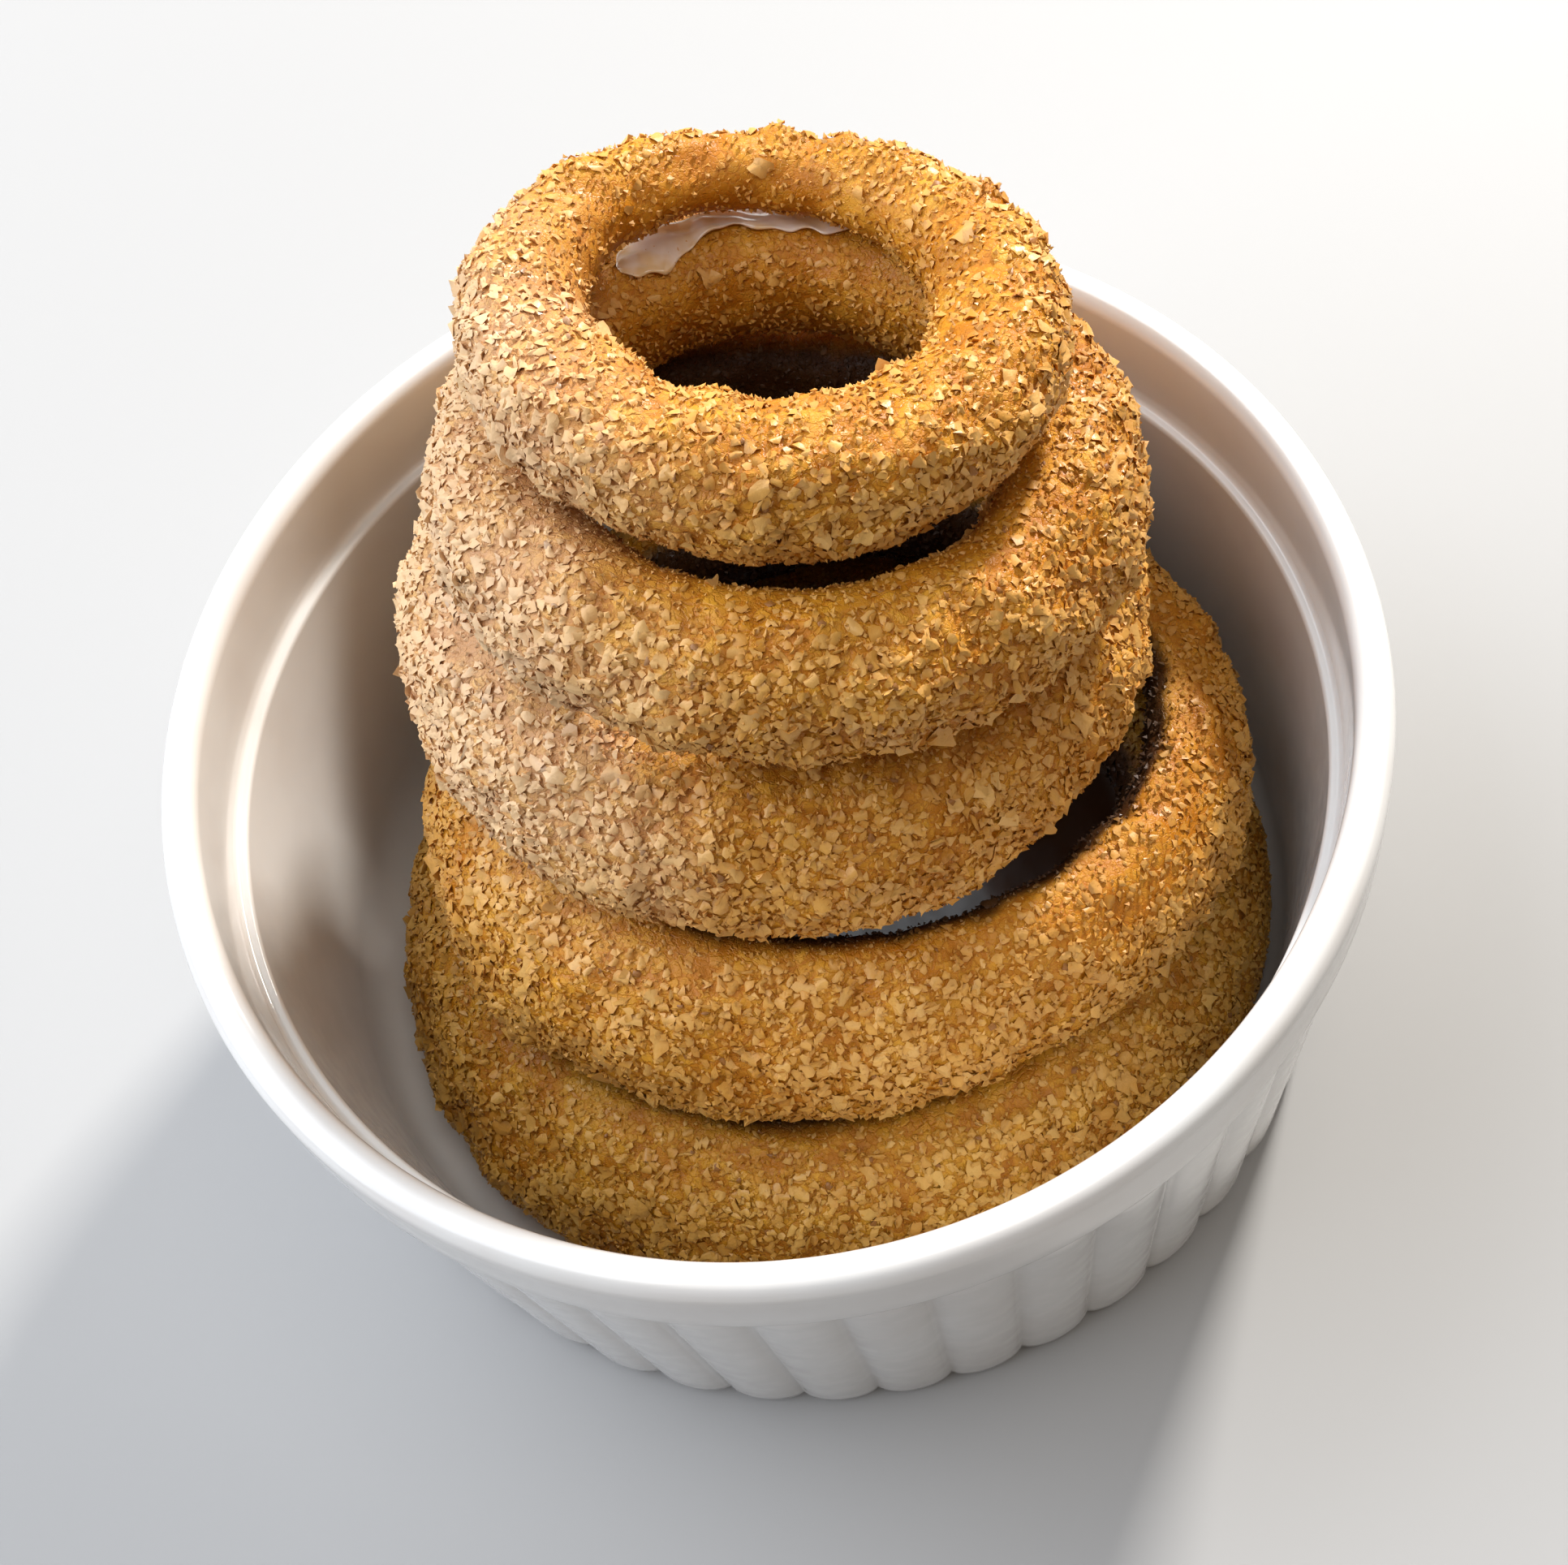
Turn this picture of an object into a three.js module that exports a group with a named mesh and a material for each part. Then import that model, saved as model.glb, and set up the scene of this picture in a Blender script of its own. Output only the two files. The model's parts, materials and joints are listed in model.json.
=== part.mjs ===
// A round fluted baking dish of white glazed stoneware, holding a leaning stack of five crumbed onion
// rings. Millimetres, +Z up. The origin is the middle of the dish's foot, on the surface it stands on;
// -Y is the side from which the stack steps down towards the rim.

import * as THREE from "three";

// ---------------------------------------------------------------- driving dimensions

// Dish
const RIM_RADIUS = 75; // outside of the rolled rim
const DISH_HEIGHT = 66; // table to the top of the rim
const RIM_WIDTH = 4.7; // across the top of the rim
const RIM_ROUND = 2.2; // height over which the rim rounds over, outside and inside
const BAND_HEIGHT = 10.6; // plain band below the rim
const SEAM_DEPTH = 0.7; // step from the band in to the fluted wall
const FLUTES = 44;
const FLUTE_DEPTH = 1.3; // lobe crest to notch
const FLUTE_TOP_RADIUS = 74.1; // crests under the band
const FLUTE_FOOT_RADIUS = 69.4; // crests at the foot
const FOOT_CHAMFER = 1.6; // between the fluted wall and the foot ring
const FOOT_OUTER = 66; // flat ring that the dish stands on
const FOOT_INNER = 60.5;
const FOOT_RECESS = 1.2; // underside inside the foot ring
const FOOT_SLOPE = 1.5; // from the foot ring in to the recess
const LEDGE_DEPTH = 13.8; // top of the rim down to the lid ledge
const LEDGE_WIDTH = 1.7; // how far the ledge steps in
const LEDGE_ROUND = 0.9; // of the ledge's two edges
const THROAT_TAPER = 0.5; // how much narrower the throat is at the ledge than at the rim
const WALL = 3.2; // inner wall under the ledge to the outer notches, near enough
const FLOOR_TOP = 5.4; // inside floor above the table
const FLOOR_RADIUS = 57; // flat part of the floor
const COVE_HEIGHT = 9; // height of the round from floor to wall

// Inner wall, from the cove up to the ledge
const COVE_TOP = FLOOR_TOP + COVE_HEIGHT;
const WALL_FOOT_RADIUS = FLUTE_FOOT_RADIUS - FLUTE_DEPTH - WALL;
const WALL_TOP_RADIUS = RIM_RADIUS - RIM_WIDTH - THROAT_TAPER - LEDGE_WIDTH;

// Facets round the dish
const PLAIN_STEPS = 88;
const FLOOR_STEPS = 44;
const LIP_STEPS = 6;
const FLUTE_STEPS = [0, 0.13, 0.36, 0.64, 0.87]; // where one flute's outline has its corners

// Onion rings, top one first. Each is a bent band of oval section:
//   centre     middle of the ring
//   radius     of the band's middle line; long: how much longer the line is along X than along Y
//   thin, tall half sizes of the oval section; lean: how far its foot swings outwards, in degrees
//   heavy      how much thicker the section is than that towards +X and towards +Y, as fractions
//   raise      front edge (-Y) up, in degrees; dip: right edge (+X) down, in degrees
//   sag        how far the line bends up at +X and -X, and at the diagonal between +X and +Y
//   steps      facets round the ring
const RINGS = [
  {
    name: "ring_top",
    centre: [12.5, 28.6, 98.3],
    radius: 28,
    long: -0.03,
    thin: 7.7,
    tall: 6.6,
    lean: 32,
    heavy: [-0.05, -0.36],
    raise: 9.8,
    dip: 11.9,
    sag: [0.3, -0.1],
    steps: 54,
  },
  {
    name: "ring_upper",
    centre: [10.1, 18.9, 83.7],
    radius: 34.5,
    long: -0.02,
    thin: 8,
    tall: 9.2,
    lean: 34,
    heavy: [0.02, -0.06],
    raise: 8.8,
    dip: 9.5,
    sag: [-0.1, 0.8],
    steps: 60,
  },
  {
    name: "ring_middle",
    centre: [5.8, 16.9, 62.1],
    radius: 38.7,
    long: -0.02,
    thin: 7.9,
    tall: 12.1,
    lean: 31.5,
    heavy: [-0.06, 0.04],
    raise: 6.1,
    dip: 7.1,
    sag: [0.8, -0.1],
    steps: 64,
  },
  {
    name: "ring_lower",
    centre: [8.9, 2.8, 41],
    radius: 43.1,
    long: 0.07,
    thin: 7.2,
    tall: 11.9,
    lean: 30.5,
    heavy: [-0.2, -0.01],
    raise: 3.7,
    dip: 3.6,
    sag: [-0.6, -0.6],
    steps: 70,
  },
  {
    name: "ring_bottom",
    centre: [2, -1.8, 18.3],
    radius: 49.2,
    long: 0.02,
    thin: 8,
    tall: 13.3,
    lean: 36.5,
    heavy: [-0.01, -0.1],
    raise: 1.4,
    dip: -0.7,
    sag: [0.1, -0.2],
    steps: 76,
  },
];
const SECTION_STEPS = 14; // facets round each band's section

// Crust relief
const CRAG = 0.75; // usual height of the crags
const FLAKE = 1.5; // extra height of a corner where a large flake stands up
const FLAKE_SHARE = 0.07; // share of corners that carry one
const SMOOTH_SHARE = 0.35; // how much of the relief is left on the inside of a ring
const RESTING_GAP = 0.45; // air kept where one thing rests on another
const RELIEF_FADE = 5; // the crags grow to full height over this much clearance
const JITTER = 0.35; // how unevenly the corners are spread, as a share of a facet
const HOLLOWS = 0.4; // share of the crags that sink in instead of standing out
const SEED = 20413;
const ROW = 1000; // keeps the draws of one ring apart from the next ring's
const [FLAKE_DRAW, JITTER_DRAW] = [500, 900]; // and the draws for one corner apart from each other

// Finishes
const CRUST = { roughness: 0.72, metalness: 0 };
const CRUST_COLOURS = [0xcf8f4a, 0xc98d45, 0xc48a42, 0xc68c40, 0xb57c38];
const GLAZE = { color: 0xeceae6, roughness: 0.18, metalness: 0 };

// ---------------------------------------------------------------- helpers

// A repeatable random number from 0 to 1 for each pair of whole numbers.
function draw(a, b) {
  let h = Math.imul(a + SEED, 374761393) ^ Math.imul(b + 7, 668265263);
  h = Math.imul(h ^ (h >>> 13), 1274126177);
  return ((h ^ (h >>> 16)) >>> 0) / 4294967296;
}

const mix = (a, b, t) => a + (b - a) * t;
const smooth = (t) => t * t * (3 - 2 * t);
const clamp = (t) => Math.min(1, Math.max(0, t));

// A closed geometry from corner points and triangles.
function solid(points, triangles) {
  const geometry = new THREE.BufferGeometry();
  geometry.setAttribute("position", new THREE.Float32BufferAttribute(points.flat(), 3));
  geometry.setIndex(triangles);
  geometry.computeVertexNormals();
  return geometry;
}

function named(name, geometry, finish) {
  const mesh = new THREE.Mesh(geometry, new THREE.MeshStandardMaterial(finish));
  mesh.name = name;
  return mesh;
}

// ---------------------------------------------------------------- dish

// A level loop of points round the dish's axis, each as an angle and a radius.
function plainLoop(radius, z, steps = PLAIN_STEPS) {
  const corners = [];
  for (let i = 0; i < steps; i++) corners.push({ angle: (2 * Math.PI * i) / steps, radius, z });
  return corners;
}

// A loop that follows the flutes: round lobes that meet in narrow notches.
function flutedLoop(crest, z, depth = FLUTE_DEPTH) {
  const corners = [];
  for (let flute = 0; flute < FLUTES; flute++)
    for (const t of FLUTE_STEPS) {
      const across = 2 * t - 1;
      const radius = crest - depth * (1 - Math.sqrt(1 - across * across));
      corners.push({ angle: (2 * Math.PI * (flute + t)) / FLUTES, radius, z });
    }
  return corners;
}

// Loops in the order in which the outline runs, from the middle of the underside, up the outside, over
// the rim and down to the middle of the floor.
function dishLoops() {
  const bandBottom = DISH_HEIGHT - BAND_HEIGHT;
  const shoulder = DISH_HEIGHT - RIM_ROUND;
  const rimInside = RIM_RADIUS - RIM_WIDTH;
  const ledge = DISH_HEIGHT - LEDGE_DEPTH;
  const throat = rimInside - THROAT_TAPER;
  const loops = [
    plainLoop(FOOT_INNER - FOOT_SLOPE, FOOT_RECESS, FLOOR_STEPS),
    plainLoop(FOOT_INNER, 0),
    plainLoop(FOOT_OUTER, 0),
    flutedLoop(FLUTE_FOOT_RADIUS - FOOT_CHAMFER / 2, FOOT_CHAMFER / 2),
    flutedLoop(FLUTE_FOOT_RADIUS, 2 * FOOT_CHAMFER),
    flutedLoop(FLUTE_TOP_RADIUS, bandBottom - SEAM_DEPTH),
    plainLoop(RIM_RADIUS - SEAM_DEPTH, bandBottom),
    plainLoop(RIM_RADIUS, bandBottom + SEAM_DEPTH),
    plainLoop(RIM_RADIUS, shoulder),
  ];
  // Round the lip from the outside to the inside.
  const lipMiddle = RIM_RADIUS - RIM_WIDTH / 2;
  for (let step = 1; step < LIP_STEPS; step++) {
    const turn = (Math.PI * step) / LIP_STEPS;
    const radius = lipMiddle + (RIM_WIDTH / 2) * Math.cos(turn);
    loops.push(plainLoop(radius, shoulder + RIM_ROUND * Math.sin(turn)));
  }
  loops.push(
    plainLoop(rimInside, shoulder),
    plainLoop(throat, ledge + 2 * LEDGE_ROUND),
    plainLoop(throat - LEDGE_ROUND / 2, ledge + LEDGE_ROUND / 2),
    plainLoop(WALL_TOP_RADIUS + LEDGE_ROUND / 2, ledge),
    plainLoop(WALL_TOP_RADIUS, ledge - LEDGE_ROUND),
    plainLoop(WALL_FOOT_RADIUS, COVE_TOP),
  );
  // Cove between the wall and the floor.
  for (const part of [1 / 3, 2 / 3]) {
    const turn = (Math.PI / 2) * part;
    const radius = mix(FLOOR_RADIUS, WALL_FOOT_RADIUS, Math.cos(turn));
    loops.push(plainLoop(radius, COVE_TOP - COVE_HEIGHT * Math.sin(turn)));
  }
  loops.push(plainLoop(FLOOR_RADIUS, FLOOR_TOP, FLOOR_STEPS));
  return loops;
}

// Joins each loop to the next with one band of triangles, whatever number of corners each has, and
// closes both ends with a fan about the axis.
function dishGeometry() {
  const loops = dishLoops();
  const points = [[0, 0, FOOT_RECESS]];
  const starts = [];
  for (const loop of loops) {
    starts.push(points.length);
    for (const c of loop) points.push([c.radius * Math.cos(c.angle), c.radius * Math.sin(c.angle), c.z]);
  }
  const floorMiddle = points.length;
  points.push([0, 0, FLOOR_TOP]);

  const triangles = [];
  const first = loops[0].length;
  for (let i = 0; i < first; i++) triangles.push(0, starts[0] + ((i + 1) % first), starts[0] + i);
  const angleAt = (loop, i) => loop[i % loop.length].angle + (i < loop.length ? 0 : 2 * Math.PI);
  for (let k = 0; k + 1 < loops.length; k++) {
    const [lower, upper] = [loops[k], loops[k + 1]];
    let [i, j] = [0, 0];
    while (i < lower.length || j < upper.length) {
      const a = starts[k] + (i % lower.length);
      const b = starts[k + 1] + (j % upper.length);
      const lowerIsNext = angleAt(lower, i + 1) <= angleAt(upper, j + 1);
      if (i < lower.length && (j >= upper.length || lowerIsNext)) {
        i += 1;
        triangles.push(a, starts[k] + (i % lower.length), b);
      } else {
        j += 1;
        triangles.push(a, starts[k + 1] + (j % upper.length), b);
      }
    }
  }
  const last = loops.length - 1;
  const count = loops[last].length;
  for (let i = 0; i < count; i++)
    triangles.push(floorMiddle, starts[last] + i, starts[last] + ((i + 1) % count));
  return solid(points, triangles);
}

// ---------------------------------------------------------------- onion rings

const deg = THREE.MathUtils.degToRad;

// The turn from a ring's own level frame to the dish's frame.
function tilt(ring) {
  const raise = new THREE.Matrix4().makeRotationX(-deg(ring.raise));
  const dip = new THREE.Matrix4().makeRotationY(deg(ring.dip));
  return dip.multiply(raise).setPosition(...ring.centre);
}

// The band's middle line at an angle round the ring, in its own frame: distance from the middle along
// X and along Y, and height.
function line(ring, angle) {
  return {
    x: ring.radius * (1 + ring.long),
    y: ring.radius * (1 - ring.long),
    z: ring.sag[0] * Math.cos(2 * angle) + ring.sag[1] * Math.sin(2 * angle),
  };
}

const sectionScale = (ring, angle) =>
  1 + ring.heavy[0] * Math.cos(angle) + ring.heavy[1] * Math.sin(angle);

// A point of the band: angle goes round the ring, turn goes round its section from the outer foot, and
// relief stands out from the smooth oval.
function bandPoint(ring, angle, turn, relief) {
  const scale = sectionScale(ring, angle);
  const tall = (ring.tall * scale + relief) * Math.cos(turn);
  const thin = (ring.thin * scale + relief) * Math.sin(turn);
  const lean = deg(ring.lean);
  const out = tall * Math.sin(lean) + thin * Math.cos(lean);
  const up = thin * Math.sin(lean) - tall * Math.cos(lean);
  const middle = line(ring, angle);
  return new THREE.Vector3(
    (middle.x + out) * Math.cos(angle),
    (middle.y + out) * Math.sin(angle),
    middle.z + up,
  ).applyMatrix4(tilt(ring));
}

// How far a point is outside a ring's smooth band, near enough.
function clearance(ring, point) {
  const p = point.clone().applyMatrix4(tilt(ring).invert());
  const angle = Math.atan2(p.y / (1 - ring.long), p.x / (1 + ring.long));
  const middle = line(ring, angle);
  const onLine = Math.hypot(middle.x * Math.cos(angle), middle.y * Math.sin(angle));
  const out = Math.hypot(p.x, p.y) - onLine;
  const up = p.z - middle.z;
  const lean = deg(ring.lean);
  const scale = sectionScale(ring, angle);
  const tall = (out * Math.sin(lean) - up * Math.cos(lean)) / (ring.tall * scale);
  const thin = (out * Math.cos(lean) + up * Math.sin(lean)) / (ring.thin * scale);
  const shell = Math.hypot(tall, thin);
  return Math.hypot(out, up) * (1 - 1 / Math.max(shell, 1e-6));
}

// How far a point is inside the dish's wall or above its floor.
function dishClearance(point) {
  const up = point.z - FLOOR_TOP;
  if (point.z > DISH_HEIGHT) return up;
  const rise = (point.z - COVE_TOP) / (DISH_HEIGHT - LEDGE_DEPTH - COVE_TOP);
  const wall = mix(WALL_FOOT_RADIUS, WALL_TOP_RADIUS, clamp(rise));
  const across = Math.hypot(point.x, point.y);
  if (point.z > COVE_TOP || across < FLOOR_RADIUS) return Math.min(up, wall - across);
  const coveWidth = WALL_FOOT_RADIUS - FLOOR_RADIUS;
  const shell = Math.hypot((across - FLOOR_RADIUS) / coveWidth, (COVE_TOP - point.z) / COVE_HEIGHT);
  return (1 - shell) * Math.min(coveWidth, COVE_HEIGHT);
}

// The crag height at one corner. Crumbs sit thickest on the outside and foot of the band, and thin out
// on its inside; here and there a large flake stands up.
function cragHeight(ringNumber, i, j, turn) {
  const inward = clamp(-Math.sin(turn));
  const cover = mix(1, SMOOTH_SHARE, smooth(inward));
  const rough = 2 * CRAG * (draw(ringNumber * ROW + i, j) - HOLLOWS);
  const flake = draw(ringNumber * ROW + i, j + FLAKE_DRAW) < FLAKE_SHARE ? FLAKE : 0;
  return cover * (rough + flake);
}

function ringGeometry(ring, ringNumber) {
  const others = RINGS.filter((other) => other !== ring);
  const points = [];
  for (let i = 0; i < ring.steps; i++) {
    for (let j = 0; j < SECTION_STEPS; j++) {
      const shift = JITTER * (draw(ringNumber * ROW + i, j + JITTER_DRAW) - 0.5);
      const angle = (2 * Math.PI * (i + 0.5 * (j % 2) + shift)) / ring.steps;
      const turn = (2 * Math.PI * (j + 0.5 * shift)) / SECTION_STEPS;
      const bare = bandPoint(ring, angle, turn, 0);
      const room = Math.min(dishClearance(bare), ...others.map((other) => clearance(other, bare)));
      const fade = clamp((room - RESTING_GAP) / RELIEF_FADE);
      const squeeze = Math.min(0, room - RESTING_GAP);
      const relief = cragHeight(ringNumber, i, j, turn) * smooth(fade) + squeeze;
      points.push(bandPoint(ring, angle, turn, relief).toArray());
    }
  }
  const triangles = [];
  const corner = (i, j) => (i % ring.steps) * SECTION_STEPS + (j % SECTION_STEPS);
  for (let i = 0; i < ring.steps; i++)
    for (let j = 0; j < SECTION_STEPS; j++) {
      const [a, b, c, d] = [corner(i, j), corner(i + 1, j), corner(i + 1, j + 1), corner(i, j + 1)];
      // Every other row is shifted half a facet, so the shorter diagonal changes sides.
      if (j % 2 === 0) triangles.push(a, b, d, b, c, d);
      else triangles.push(a, b, c, a, c, d);
    }
  return solid(points, triangles);
}

// ---------------------------------------------------------------- the part

const part = new THREE.Group();
part.add(named("dish", dishGeometry(), GLAZE));
RINGS.forEach((ring, number) => {
  const finish = { color: CRUST_COLOURS[number], ...CRUST };
  part.add(named(ring.name, ringGeometry(ring, number + 1), finish));
});

export default part;
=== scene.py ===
"""A leaning stack of crumbed, deep-fried onion rings in a round fluted dish.

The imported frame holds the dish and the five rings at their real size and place. This script dresses
them: the dish gets a smooth glazed body with fine flutes, each ring a craggy fried skin, and crumbs
of several kinds are scattered over the skins. A strip of bare onion shows inside one of the rings.
Metres, +Z up, -Y is the front.
"""

import json
import logging
import math
from dataclasses import dataclass
from enum import Enum
from functools import cache, partialmethod

import bmesh
import bpy
import numpy as np
from mathutils import Matrix, Vector
from mathutils.bvhtree import BVHTree

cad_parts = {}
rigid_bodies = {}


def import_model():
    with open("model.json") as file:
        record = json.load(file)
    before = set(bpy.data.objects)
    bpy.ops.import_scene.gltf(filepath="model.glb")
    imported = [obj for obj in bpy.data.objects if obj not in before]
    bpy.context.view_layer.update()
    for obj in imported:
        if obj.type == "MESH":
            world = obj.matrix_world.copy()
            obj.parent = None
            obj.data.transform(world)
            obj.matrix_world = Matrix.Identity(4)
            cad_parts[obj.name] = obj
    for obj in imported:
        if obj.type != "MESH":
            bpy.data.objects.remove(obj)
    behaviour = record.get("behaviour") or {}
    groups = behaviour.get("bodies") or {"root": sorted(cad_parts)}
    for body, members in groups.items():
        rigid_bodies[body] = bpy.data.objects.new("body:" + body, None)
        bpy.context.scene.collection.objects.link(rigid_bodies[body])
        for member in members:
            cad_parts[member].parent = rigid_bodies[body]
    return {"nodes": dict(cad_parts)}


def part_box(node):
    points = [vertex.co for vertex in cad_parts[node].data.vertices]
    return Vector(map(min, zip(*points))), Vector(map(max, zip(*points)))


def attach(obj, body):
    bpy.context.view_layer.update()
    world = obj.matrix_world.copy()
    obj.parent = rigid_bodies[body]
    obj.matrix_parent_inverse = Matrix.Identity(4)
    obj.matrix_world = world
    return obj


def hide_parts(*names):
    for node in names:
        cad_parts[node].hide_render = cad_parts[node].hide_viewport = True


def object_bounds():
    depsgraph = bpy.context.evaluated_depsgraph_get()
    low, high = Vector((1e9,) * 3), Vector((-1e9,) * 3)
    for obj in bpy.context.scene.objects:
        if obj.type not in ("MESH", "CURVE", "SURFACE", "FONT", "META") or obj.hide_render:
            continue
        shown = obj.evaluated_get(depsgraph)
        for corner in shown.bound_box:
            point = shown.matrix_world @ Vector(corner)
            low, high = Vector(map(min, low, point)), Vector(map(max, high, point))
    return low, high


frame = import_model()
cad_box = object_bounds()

log = logging.getLogger("onion_rings")

MM = 0.001
BODY = "root"
DISH_NODE = "dish"
CEILING = cad_box[1][2] - 0.02 * MM  # the crust stays just under the top of the solids' box
HALF = (0.5, 0.5, 0.5)

Colour = tuple[float, float, float, float]
Material = bpy.types.Material
Mesh = bpy.types.Mesh
Piece = bpy.types.Object
Nodes = bpy.types.NodeTree
Socket = bpy.types.NodeSocket
Value = object  # a number, a vector, a colour or an output socket


# ------------ node trees


class Tree:
    """Writes one node tree, with a short call for each node.

    Attributes:
        tree: the shader or geometry tree.
        given: the tree's own inputs by name, if it is a group.
    """

    def __init__(self, tree: Nodes) -> None:
        """Starts on an existing tree."""
        self.tree = tree
        self.given = {}

    @staticmethod
    def group(name: str, kind: str, inputs: dict[str, str], outputs: dict[str, str]) -> "Tree":
        """Makes a new group with its sockets.

        Args:
            name: the group's name.
            kind: Shader or Geometry.
            inputs: the inputs' names by their type, such as Float, with commas between names.
            outputs: the same for the outputs.

        Returns:
            The tree, ready for its nodes.
        """
        group = Tree(bpy.data.node_groups.new(name, f"{kind}NodeTree"))
        for sockets, side in ((inputs, "INPUT"), (outputs, "OUTPUT")):
            for socket, labels in sockets.items():
                for label in labels.split(", "):
                    group.tree.interface.new_socket(label, in_out=side, socket_type=f"NodeSocket{socket}")
        group.given = group.node("NodeGroupInput").outputs
        return group

    @staticmethod
    def modifier(name: str, inputs: dict[str, str]) -> "Tree":
        """Makes a geometry group that gives a mesh the material Finish, with more inputs by type."""
        inputs = {"Geometry": "Geometry", "Material": "Finish"} | inputs
        return Tree.group(name, "Geometry", inputs, {"Geometry": "Geometry"})

    def ended(self, outputs: dict[str | int, Value]) -> Nodes:
        """Fills a group's outputs and gives back its node tree."""
        self.node("NodeGroupOutput", outputs)
        return self.tree

    def dressed(self, geometry: Value) -> Nodes:
        """Ends a geometry group with the mesh in its finish."""
        inputs = {"Geometry": geometry, "Material": self.given["Finish"]}
        return self.ended({0: self.out("GeometryNodeSetMaterial", inputs)})

    def node(self, kind: str, inputs: dict | None = None, **settings: Value) -> bpy.types.Node:
        """Adds a node.

        Args:
            kind: Blender's name for the kind of node.
            inputs: numbers or output sockets, by the input's name or number.
            settings: the node's own properties.

        Returns:
            The new node.
        """
        node = self.tree.nodes.new(kind)
        for name, value in settings.items():
            setattr(node, name, value)
        self.fill(node, inputs or {})
        return node

    def fill(self, node: bpy.types.Node, inputs: dict) -> None:
        """Gives a node's inputs their numbers or links."""
        for key, value in inputs.items():
            socket = self.find(node.inputs, key)
            if isinstance(value, Socket):
                self.tree.links.new(value, socket)
            else:
                socket.default_value = value

    @staticmethod
    def find(sockets: bpy.types.bpy_prop_collection, key: str | int) -> Socket:
        """Finds a socket by number, or by name among those in use."""
        if isinstance(key, int):
            return sockets[key]
        named = [socket for socket in sockets if socket.name == key]
        return next((socket for socket in named if socket.enabled), named[0])

    def out(self, kind: str, inputs: dict | None = None, output: str | int = 0, **settings: Value) -> Socket:
        """Adds a node and gives back one of its outputs."""
        return self.find(self.node(kind, inputs, **settings).outputs, output)

    def use(self, group: Nodes, inputs: dict[str, Value]) -> bpy.types.NodeOutputs:
        """Adds a shader group and gives back its outputs."""
        return self.node("ShaderNodeGroup", inputs, node_tree=group).outputs

    def math(self, operation: str, *values: Value, clamp: bool = False) -> Socket:
        """Adds a Math node on up to three values."""
        return self.out("ShaderNodeMath", dict(enumerate(values)), operation=operation, use_clamp=clamp)

    # Short names for the sums that are used most, each on two values or three.
    plus = partialmethod(math, "ADD")
    minus = partialmethod(math, "SUBTRACT")
    times = partialmethod(math, "MULTIPLY")
    times_plus = partialmethod(math, "MULTIPLY_ADD")
    over = partialmethod(math, "DIVIDE")

    def vector(self, operation: str, *values: Value, output: str | int = 0) -> Socket:
        """Adds a Vector Math node."""
        inputs = {0: values[0], 3: values[1]} if operation == "SCALE" else dict(enumerate(values))
        return self.out("ShaderNodeVectorMath", inputs, output, operation=operation)

    scaled = partialmethod(vector, "SCALE")

    def split(self, vector: Value) -> bpy.types.NodeOutputs:
        """Splits a vector into X, Y and Z."""
        return self.node("ShaderNodeSeparateXYZ", {0: vector}).outputs

    def join(self, *values: Value) -> Socket:
        """Makes a vector of up to three numbers."""
        return self.out("ShaderNodeCombineXYZ", dict(enumerate(values)))

    def ramp(self, value: Value, low: Value, high: Value, to_low: float = 0, to_high: float = 1) -> Socket:
        """Maps a value smoothly from one range to another, and holds it at both ends."""
        inputs = dict(enumerate((value, low, high, to_low, to_high)))
        return self.out("ShaderNodeMapRange", inputs, interpolation_type="SMOOTHSTEP")

    def noise(self, where: Value, scale: Value, detail: float = 2.0, output: int = 0) -> Socket:
        """Adds a Noise texture and gives its number, or its vector if the output is 1."""
        return self.out("ShaderNodeTexNoise", {"Vector": where, "Scale": scale, "Detail": detail}, output)

    def sway(self, where: Value, scale: Value, detail: float) -> Socket:
        """Gives noise that goes to either side of 0."""
        return self.minus(self.noise(where, scale, detail), 0.5)

    def blend(self, factor: Value, first: Value, second: Value, how: str = "MIX") -> Socket:
        """Blends two colours."""
        inputs = {0: factor, 6: first, 7: second}
        return self.out("ShaderNodeMix", inputs, 2, data_type="RGBA", blend_type=how)

    def bump(self, height: Value, distance: float, strength: float) -> Socket:
        """Gives the normal of a fine relief."""
        return self.out("ShaderNodeBump", {"Height": height, "Distance": distance, "Strength": strength})

    def where(self) -> Socket:
        """Gives the place on the mesh, in its own coordinates."""
        if self.tree.bl_idname == "GeometryNodeTree":
            return self.out("GeometryNodeInputPosition")
        return self.out("ShaderNodeTexCoord", output="Object")

    def attribute(self, name: str) -> Socket:
        """Reads a number stored on the mesh."""
        if self.tree.bl_idname == "GeometryNodeTree":
            return self.out("GeometryNodeInputNamedAttribute", {"Name": name}, data_type="FLOAT")
        return self.out("ShaderNodeAttribute", output="Fac", attribute_name=name)

    def stored(self, geometry: Value, name: str, value: Value, **settings: str) -> Socket:
        """Stores a value on a mesh's corners, or where the settings say, in a geometry tree."""
        inputs = {"Geometry": geometry, "Name": name, "Value": value}
        settings = {"data_type": "FLOAT", "domain": "POINT"} | settings
        return self.out("GeometryNodeStoreNamedAttribute", inputs, **settings)

    def moved(self, geometry: Value, offset: Value) -> Socket:
        """Moves a mesh's corners, in a geometry tree."""
        return self.out("GeometryNodeSetPosition", {"Geometry": geometry, "Offset": offset})

    def realized(self, geometry: Value) -> Socket:
        """Makes instances real, in a geometry tree."""
        return self.out("GeometryNodeRealizeInstances", {0: geometry})

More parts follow.
